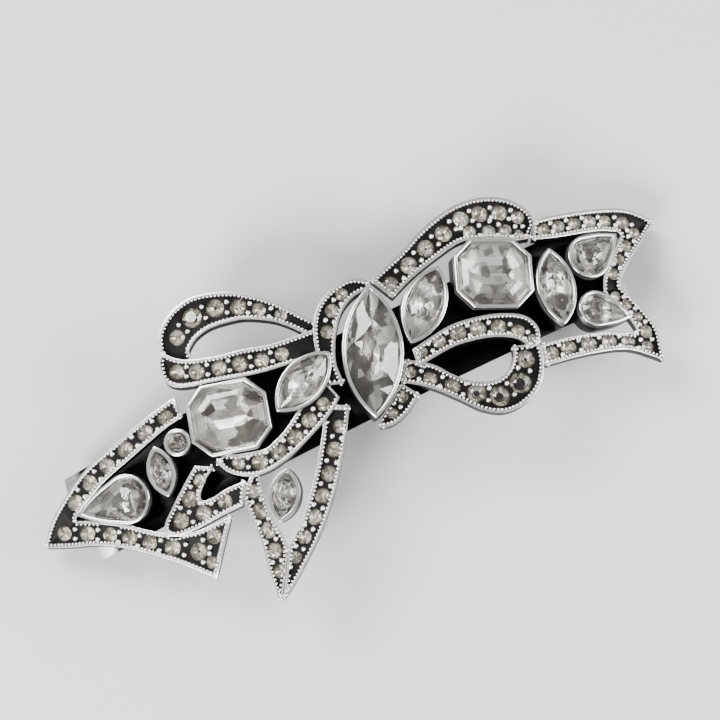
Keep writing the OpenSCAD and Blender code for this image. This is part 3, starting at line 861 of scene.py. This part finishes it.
@dataclass(frozen=True)
class Setting:
    """One large stone and its bezel.

    Attributes:
        name: Name that its pieces start with.
        cut: Outline of the stone.
        x: Place along the clip, in millimetres.
        y: Place across it, in millimetres.
        turn: Turn about the arch's normal, in degrees.
        length: Length over the bezel, in millimetres.
        width: Width over the bezel, in millimetres.
        height: Height of the bezel over the arch, in millimetres.
    """

    name: str
    cut: Cut
    x: float
    y: float
    turn: float
    length: float
    width: float
    height: float

    def frame(self) -> Matrix:
        """Gives the frame that stands on the arch under the setting."""
        return ARCH.seat(self.x * MM, self.y * MM) @ Matrix.Rotation(math.radians(self.turn), 4, "Z")


SETTINGS = (
    Setting("centre", Cut.MARQUISE, 4.1, 1.4, 66, 17.6, 8, 4.2),
    Setting("left_octagon", Cut.OCTAGON, -16.2, 2.3, -16.5, 10.7, 9.4, 3.4),
    Setting("right_octagon", Cut.OCTAGON, 23.2, 4, -23.5, 10.6, 9.5, 3.4),
    Setting("left_marquise", Cut.MARQUISE, -5.6, 2, 22, 10.4, 5.6, 3.4),
    Setting("right_inner_marquise", Cut.MARQUISE, 13, 4.1, 44, 11.2, 5.8, 3.4),
    Setting("right_outer_marquise", Cut.MARQUISE, 30.1, -1, 73, 10.8, 5.5, 3.2),
    Setting("left_pear", Cut.PEAR, -32.9, -0.8, 170, 10.6, 6.6, 3.1),
    Setting("upper_pear", Cut.PEAR, 36.2, 0.9, 14, 8.6, 6, 3.1),
    Setting("lower_pear", Cut.PEAR, 33.7, -5.9, -34, 7.8, 5, 3.1),
    Setting("small_marquise", Cut.MARQUISE, -27.2, 0.2, 80, 6.8, 3.8, 2.9),
    Setting("drop_marquise", Cut.MARQUISE, -14.3, -10, 56, 7, 4.1, 3.0),
    Setting("round", Cut.ROUND, -23.7, 2.6, 0, 3.64, 3.64, 2.8),
)


@dataclass
class Bezels:
    """The raised cups that hold the large stones.

    Attributes:
        wall: Thickness of a cup's wall.
        cup_floor: Height of the cup's floor over the arch.
        rounding: Rounding of the cup's lip.
    """

    wall: float = 0.45 * MM
    cup_floor: float = 0.3 * MM
    rounding: float = 0.14 * MM

    def cup(self, setting: Setting, silver: bpy.types.Material) -> bpy.types.Object:
        """Models one bezel cup by extruding its outline, insetting the top and sinking it.

        Args:
            setting: The stone's setting.
            silver: The finish.

        Returns:
            The cup, in its place.
        """
        points = outline(setting.cut, setting.length * MM, setting.width * MM, 48)
        piece = ring_of(points, 0.0)
        bpy.ops.object.mode_set(mode="EDIT")
        bpy.ops.mesh.select_all(action="SELECT")
        bpy.ops.mesh.extrude_region_move(TRANSFORM_OT_translate={"value": (0, 0, setting.height * MM)})
        bpy.ops.mesh.inset(thickness=self.wall, depth=0.0)
        sink = self.cup_floor - setting.height * MM
        bpy.ops.mesh.extrude_region_move(TRANSFORM_OT_translate={"value": (0, 0, sink)})
        bpy.ops.mesh.select_all(action="SELECT")
        bpy.ops.mesh.normals_make_consistent(inside=False)
        bpy.ops.object.mode_set(mode="OBJECT")
        name_piece(piece, f"{setting.name}_cup")
        place_in_mesh(piece, setting.frame())
        self.fit_to_arch(piece)
        soften(piece, self.rounding, segments=3, angle=40)
        piece.data.materials.append(silver)
        return piece

    def fit_to_arch(self, piece: bpy.types.Object) -> None:
        """Drops the cup's lowest corners straight onto the arch."""
        for corner in piece.data.vertices:
            if ARCH.lift_of(corner.co) < 0.25 * MM:
                corner.co.z = ARCH.crown - ARCH.radius + math.sqrt(ARCH.radius ** 2 - corner.co.x ** 2)

    def build(self, tarnish: bpy.types.NodeTree) -> None:
        """Builds every bezel.

        Args:
            tarnish: The shared tarnish group.
        """
        for setting in SETTINGS:
            top = setting.height * MM
            name = f"bezel_silver_{setting.name}"
            finish = CastSilver(name, top, 1.3 * MM, bright=(0.86, 0.84, 0.81), polish=0.17, grime=0.12)
            cup = self.cup(setting, finish.make(tarnish))
            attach(cup, "bow_and_plate")
            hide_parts(f"{setting.name}_bezel")
            log.info("%s: %d faces", cup.name, len(cup.data.polygons))


# ---------------------------------------------------------------- stones


# Painted reflection: how light each facet's foil is painted, from dark facets to bright ones.
PAINTED_FACET_REFLECTIONS = (0.0, 0.12, 0.4, 0.7, 0.9, 1.0, 1.0, 1.0)


def paint_facet_reflections(piece: bpy.types.Object, seed: int) -> None:
    """Gives each facet a painted reflection of its own, light or dark, which the foil back reads.

    Args:
        piece: The stone.
        seed: Which stone it is, so that no two look alike.
    """
    dice = random.Random(seed)
    painted_tones = piece.data.attributes.new("painted_facet_reflection", "FLOAT", "FACE")
    painted_tones.data.foreach_set("value", [dice.choice(PAINTED_FACET_REFLECTIONS) for _ in piece.data.polygons])


def foil_below(mesh: bpy.types.Mesh, height: float) -> None:
    """Gives the facets below a height the second material."""
    for face in mesh.polygons:
        face.material_index = 1 if face.center.z < height and face.normal.z < -0.02 else 0


@dataclass
class LargeStones:
    """The twelve bezel-set stones, step cut or brilliant cut.

    Attributes:
        play: Gap between a stone and its cup's wall.
        girdle_below: How far the girdle is below the cup's lip.
        table_above: How far the table stands over the cup's lip.
        deepest: How deep a stone's back goes below its girdle.
        tables: Size of the table as a share of the stone, for each brilliant cut.
    """

    play: float = 0.02 * MM
    girdle_below: float = 0.38 * MM
    table_above: float = 0.72 * MM
    deepest: float = 1.7 * MM
    tables: dict[Cut, float] = field(
        default_factory=lambda: {Cut.ROUND: 0.55, Cut.MARQUISE: 0.42, Cut.PEAR: 0.2}
    )

    def cutting(self, setting: Setting, wall: float) -> list[tuple[list[tuple[float, float]], float]]:
        """Works out the rings of corners between a stone's facets.

        Args:
            setting: The stone's setting.
            wall: Thickness of the cup's wall.

        Returns:
            Each ring with its height over the arch.
        """
        length = setting.length * MM - 2 * (wall + self.play)
        width = setting.width * MM - 2 * (wall + self.play)
        lip = setting.height * MM
        girdle = lip - self.girdle_below
        rise = self.table_above + self.girdle_below
        depth = min(self.deepest, girdle - 0.5 * MM)
        if setting.cut is Cut.OCTAGON:
            rim = outline(setting.cut, length, width, 8)
            rings = [(shrunk(rim, s), girdle + k * rise) for s, k in ((1.0, 0.0), (0.9, 0.5), (0.76, 0.86), (0.62, 1.0))]
            back = ((1.0, 1.0, 0.08), (0.86, 0.8, 0.42), (0.72, 0.56, 0.7), (0.58, 0.3, 0.9), (0.46, 0.04, 1.0))
            rings += [([(x * a, y * b) for x, y in rim], girdle - k * depth) for a, b, k in back]
            return rings
        rim = outline(setting.cut, length, width, 24)
        half = rim[::2]
        table = self.tables[setting.cut]
        shoulder = (1.0 + table) / 2
        rings = [(rim, girdle), (shrunk(half, shoulder, 0.5), girdle + 0.6 * rise), (shrunk(half, table), girdle + rise)]
        back = ((0.74, 0.5, 0.46), (0.5, 0.0, 0.72), (0.27, 0.5, 0.9), (0.05, 0.0, 1.0))
        rings += [(rim, girdle - 0.08 * depth)]
        rings += [(shrunk(half, by, turn), girdle - k * depth) for by, turn, k in back]
        return rings

    def build(self, wall: float, glass: bpy.types.Material, foil: bpy.types.Material) -> None:
        """Builds every large stone.

        Args:
            wall: Thickness of the cups' walls.
            glass: Finish of the cut glass.
            foil: Finish of the mirrored back.
        """
        for seed, setting in enumerate(SETTINGS):
            stone = hull_of(self.cutting(setting, wall), f"{setting.name}_cut_stone")
            stone.data.materials.append(glass)
            stone.data.materials.append(foil)
            foil_below(stone.data, (setting.height - 0.4) * MM)
            paint_facet_reflections(stone, seed)
            place_in_mesh(stone, setting.frame())
            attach(stone, "bow_and_plate")
            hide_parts(f"{setting.name}_stone")
            log.info("%s: %d facets", stone.name, len(stone.data.polygons))


@dataclass(frozen=True)
class Seat:
    """Where a small stone sits: its middle at the girdle, its radius and its height over the arch."""

    middle: Vector
    radius: float
    lift: float


@dataclass
class SmallStones:
    """The rows of small stones, and the grains of metal that hold them.

    Attributes:
        groups: The CAD nodes that hold the rows.
        grain: Radius of a grain.
        widest_gap: Stones further apart than this have no grains between them.
    """

    groups: tuple[str, ...] = (
        "left_loop_stones", "left_tail_stones", "lower_tail_stones", "knot_stones", "right_loop_stones", "right_tail_stones",
    )
    grain: float = 0.37 * MM
    widest_gap: float = 1.5 * MM

    def seats_in(self, node: bpy.types.Object) -> list[Seat]:
        """Finds the stones of a CAD node.

        Args:
            node: The node with a row or more of round stones.

        Returns:
            A seat for each stone.
        """
        work = bmesh.new()
        work.from_mesh(node.data)
        bmesh.ops.remove_doubles(work, verts=work.verts, dist=0.002 * MM)
        left = set(work.verts)
        seats = []
        while left:
            todo = [left.pop()]
            part = list(todo)
            while todo:
                for edge in todo.pop().link_edges:
                    for corner in edge.verts:
                        if corner in left:
                            left.remove(corner)
                            todo.append(corner)
                            part.append(corner)
            middle = sum((v.co for v in part), Vector()) / len(part)
            up = ARCH.normal(middle)
            out = [(v.co - middle) - up * (v.co - middle).dot(up) for v in part]
            lifts = [ARCH.lift_of(v.co) for v in part]
            radius = max(o.length for o in out)
            seats.append(Seat(middle + up * (max(lifts) - ARCH.lift_of(middle)), radius, max(lifts)))
        work.free()
        return seats

    def chaton(self, glass: bpy.types.Material, foil: bpy.types.Material) -> bpy.types.Mesh:
        """Cuts one small stone of radius 1 with its table at height 0.

        Args:
            glass: Finish of the cut glass.
            foil: Finish of the mirrored back.

        Returns:
            The stone's mesh.
        """
        rim = [(math.cos(math.pi * i / 8), math.sin(math.pi * i / 8)) for i in range(16)]
        eight = rim[::2]
        rings = [(shrunk(eight, 0.56), 0.0), (shrunk(eight, 0.86, 0.5), -0.16), (rim, -0.37), (rim, -0.46)]
        rings += [(shrunk(eight, 0.62, 0.5), -0.74), (shrunk(eight, 0.1), -1.04)]
        stone = hull_of(rings, "chaton")
        mesh = stone.data.copy()
        bpy.data.objects.remove(stone)
        mesh.materials.append(glass)
        mesh.materials.append(foil)
        foil_below(mesh, -0.4)
        return mesh

    def grain_places(self, seats: Sequence[Seat]) -> list[tuple[Matrix, float]]:
        """Puts a pair of grains between each two neighbours of a row.

        Args:
            seats: The stones of one node.

        Returns:
            Where each grain goes, size included, and the level of its ribbon's rims.
        """
        spots: list[tuple[Vector, float]] = []
        for i, a in enumerate(seats):
            for b in seats[i + 1:]:
                apart = (a.middle - b.middle).length
                if abs(a.lift - b.lift) > 0.05 * MM or apart - a.radius - b.radius > self.widest_gap:
                    continue
                along = (b.middle - a.middle).normalized()
                share = (apart + a.radius - b.radius) / (2 * apart)
                spot = a.middle.lerp(b.middle, share)
                mean = (a.radius + b.radius) / 2
                up = ARCH.normal(spot)
                side = up.cross(along)
                notch = math.sqrt(max((mean + self.grain) ** 2 - (apart / 2) ** 2, 0.0))
                reach = max(notch, 0.62 * mean)
                for sign in (1, -1):
                    spots.append((spot + side * sign * reach, a.lift))
        kept: list[tuple[Vector, float]] = []
        for spot, lift in spots:
            if any((spot - s.middle).length < s.radius + 0.35 * self.grain for s in seats):
                continue
            if any((spot - other).length < 1.5 * self.grain for other, _ in kept):
                continue
            kept.append((spot, lift))
        return [(self.grain_frame(spot, lift), lift) for spot, lift in kept]

    def grain_frame(self, spot: Vector, lift: float) -> Matrix:
        """Gives a grain's place a little below the tables of its neighbours."""
        up = ARCH.normal(spot)
        spot = spot + up * (lift - 0.2 * MM - ARCH.lift_of(spot))
        return Matrix.Translation(spot) @ up.to_track_quat("Z", "X").to_matrix().to_4x4() @ Matrix.Scale(self.grain, 4)

    def clear_of_cups(self, place: Matrix) -> bool:
        """Tells whether a grain stands clear of every bezel cup."""
        for setting in SETTINGS:
            local = setting.frame().inverted() @ place.translation
            points = outline(setting.cut, setting.length * MM, setting.width * MM, 32)
            inside = all(
                (q[0] - p[0]) * (local.y - p[1]) - (q[1] - p[1]) * (local.x - p[0]) > -0.25 * MM * math.dist(p, q)
                for p, q in zip(points, points[1:] + points[:1])
            )
            if inside:
                return False
        return True

    def build(
        self,
        nodes: dict[str, bpy.types.Object],
        ribbons: Ribbons,
        tarnish: bpy.types.NodeTree,
        glass: bpy.types.Material,
        foil: bpy.types.Material,
    ) -> None:
        """Builds the small stones and the grains of every row.

        Args:
            nodes: The CAD nodes by name.
            ribbons: The ribbons, whose bead finish the grains share.
            tarnish: The shared tarnish group.
            glass: Finish of the cut glass.
            foil: Finish of the mirrored back.
        """
        chaton = self.chaton(glass, foil)
        ball = ribbons.bead_shape()
        dice = random.Random(7)
        for group in self.groups:
            seats = self.seats_in(nodes[group])
            places = []
            for seat in seats:
                up = ARCH.normal(seat.middle)
                turn = up.to_track_quat("Z", "X").to_matrix().to_4x4()
                spin = Matrix.Rotation(dice.uniform(0, math.pi), 4, "Z")
                tip = Matrix.Rotation(dice.uniform(-0.09, 0.09), 4, "X") @ Matrix.Rotation(dice.uniform(-0.09, 0.09), 4, "Y")
                places.append(Matrix.Translation(seat.middle) @ turn @ tip @ spin @ Matrix.Scale(seat.radius, 4))
            stones = strew(f"{group}_cut", chaton, places, smooth=False)
            paint_facet_reflections(stones, len(group))
            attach(stones, "bow_and_plate")
            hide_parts(group)
            levels: dict[float, list[Matrix]] = {}
            for place, lift in self.grain_places(seats):
                if self.clear_of_cups(place):
                    levels.setdefault(round(lift / MM, 1), []).append(place)
            for lift, spots in levels.items():
                level = min([ribbons.usual, *ribbons.levels.values()], key=lambda t: abs(t - (lift - 0.01) * MM))
                ball.materials.clear()
                ball.materials.append(ribbons.grain_finish_for(level, tarnish))
                grains = strew(f"{group}_grains_{round(lift * 10)}", ball, spots, smooth=True)
                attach(grains, "bow_and_plate")
            log.info("%s: %d stones, %d grains", group, len(seats), sum(len(v) for v in levels.values()))


# ---------------------------------------------------------------- the barrette back


@dataclass
class Barrette:
    """The steel back, its clasp arm, its spring and its catch.

    Attributes:
        worn: Rounding of the strip's edges.
        covered: Half length of the plate that the bow covers.
        plate: The plate's node.
        strip: The nodes of plain plated strip.
        sprung: The nodes of spring steel.
    """

    worn: float = 0.1 * MM
    covered: float = 38.5 * MM
    plate: tuple[str, ...] = ("back_plate",)
    strip: tuple[str, ...] = ("bar_keepers", "clasp_arm", "hinge_pin", "catch_base", "catch_rivet", "bow_rivets")
    sprung: tuple[str, ...] = ("tension_bar", "catch_prong_front", "catch_prong_rear")

    def dress(self, nodes: dict[str, bpy.types.Object]) -> None:
        """Finishes the steel pieces.

        Args:
            nodes: The CAD nodes by name.
        """
        plain = RolledSteel("barrette_steel").make()
        plate = RolledSteel("plate_steel", covered=self.covered).make()
        springy = RolledSteel("spring_steel", tone=(0.52, 0.53, 0.55), polish=0.2).make()
        for names, finish in ((self.plate, plate), (self.strip, plain), (self.sprung, springy)):
            for name in names:
                node = nodes[name]
                node.data.materials.clear()
                node.data.materials.append(finish)
                weld = node.modifiers.new("weld", "WELD")
                weld.merge_threshold = 0.002 * MM
                bevel = node.modifiers.new("worn_edges", "BEVEL")
                bevel.width = self.worn
                bevel.segments = 2
                bevel.limit_method = "ANGLE"
                bevel.angle_limit = math.radians(40)
                log.info("%s dressed", name)


# ---------------------------------------------------------------- the studio


@dataclass
class Studio:
    """A pale floor, soft lamps and the camera.

    Attributes:
        target: The point that the camera looks at.
        azimuth: Bearing of the camera round the object, in degrees.
        elevation: Height of the camera over the horizon, in degrees.
        distance: Distance from the camera to the target.
        lens: Focal length, in millimetres on a 36 mm sensor.
        shift: Sideways and upward shift of the lens.
        floor_below: How far the floor is under the clip, so that the two share no plane.
    """

    target: Vector = field(default_factory=lambda: Vector((0.0, 0.0, 12 * MM)))
    azimuth: float = -26.665
    elevation: float = 81.0
    distance: float = 0.26
    lens: float = 99.14
    shift: tuple[float, float] = (0.0152, 0.0274)
    floor_below: float = 0.03 * MM

    def backdrop(self) -> None:
        """Lays the pale floor: a flat disc with an inset ring of faces."""
        put_down_all()
        bpy.ops.mesh.primitive_circle_add(
            vertices=64, radius=0.6, fill_type="NGON", location=(0.0, 0.0, -self.floor_below)
        )
        floor = name_piece(bpy.context.object, "studio_floor")
        bpy.ops.object.mode_set(mode="EDIT")
        bpy.ops.mesh.select_all(action="SELECT")
        bpy.ops.mesh.inset(thickness=0.2, depth=0.0)
        bpy.ops.object.mode_set(mode="OBJECT")
        paint = bpy.data.materials.new("studio_floor")
        paint.use_nodes = True
        skin = paint.node_tree.nodes["Principled BSDF"]
        skin.inputs["Base Color"].default_value = (0.55, 0.555, 0.55, 1.0)
        skin.inputs["Roughness"].default_value = 0.9
        floor.data.materials.append(paint)

    def lamp(self, name: str, place: tuple[float, float, float], size: float, power: float) -> None:
        """Hangs a square soft lamp that faces the clip.

        Args:
            name: Name of the lamp.
            place: Where it hangs, in metres.
            size: Side of the square, in metres.
            power: Its power, in watts.
        """
        light = bpy.data.lights.new(name, "AREA")
        light.shape = "SQUARE"
        light.size = size
        light.energy = power
        holder = bpy.data.objects.new(name, light)
        holder.location = place
        holder.rotation_euler = (self.target - Vector(place)).to_track_quat("-Z", "Y").to_euler()
        bpy.context.scene.collection.objects.link(holder)

    def light_up(self) -> None:
        """Hangs the lamps and sets the dim room behind them."""
        self.lamp("top_lamp", (-0.20, 0.40, 0.52), 0.30, 7.0)
        self.lamp("key_lamp", (-0.30, -0.16, 0.30), 0.16, 4.4)
        self.lamp("fill_lamp", (0.36, -0.14, 0.26), 0.20, 3.0)
        room = bpy.data.worlds.new("room")
        room.use_nodes = True
        room.node_tree.nodes["Background"].inputs["Color"].default_value = (0.98, 0.98, 1.0, 1.0)
        room.node_tree.nodes["Background"].inputs["Strength"].default_value = 0.5
        bpy.context.scene.world = room

    def place_camera(self) -> None:
        """Sets the camera at its angle and makes it the scene's camera."""
        bearing, height = math.radians(self.azimuth), math.radians(self.elevation)
        back = Vector((math.sin(bearing) * math.cos(height), -math.cos(bearing) * math.cos(height), math.sin(height)))
        lens = bpy.data.cameras.new("camera")
        lens.lens = self.lens
        lens.sensor_width = 36.0
        lens.shift_x, lens.shift_y = self.shift
        lens.clip_start = 0.01
        camera = bpy.data.objects.new("camera", lens)
        camera.location = self.target + back * self.distance
        camera.rotation_euler = (-back).to_track_quat("-Z", "Y").to_euler()
        bpy.context.scene.collection.objects.link(camera)
        bpy.context.scene.camera = camera


def main() -> None:
    """Builds and dresses the clip, then sets the studio round it."""
    logging.basicConfig(level=logging.INFO, format="%(name)s: %(message)s")
    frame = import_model()
    nodes = frame["nodes"]
    tarnish = tarnish_group()
    ribbons = Ribbons()
    ribbons.dress(nodes, tarnish)
    bezels = Bezels()
    bezels.build(tarnish)
    clear = CutGlass("large_crystal", (0.99, 0.988, 0.98)).make()
    foil = FoilBack("large_foil", (1.0, 0.975, 0.92), (0.1, 0.09, 0.075)).make()
    LargeStones().build(bezels.wall, clear, foil)
    small_clear = CutGlass("small_crystal", (0.985, 0.975, 0.955)).make()
    small_foil = FoilBack("small_foil", (1.0, 0.97, 0.89), (0.34, 0.31, 0.25), painted_glints=1700.0).make()
    SmallStones().build(nodes, ribbons, tarnish, small_clear, small_foil)
    Barrette().dress(nodes)
    studio = Studio()
    studio.backdrop()
    studio.light_up()
    studio.place_camera()


if __name__ == "__main__":
    main()
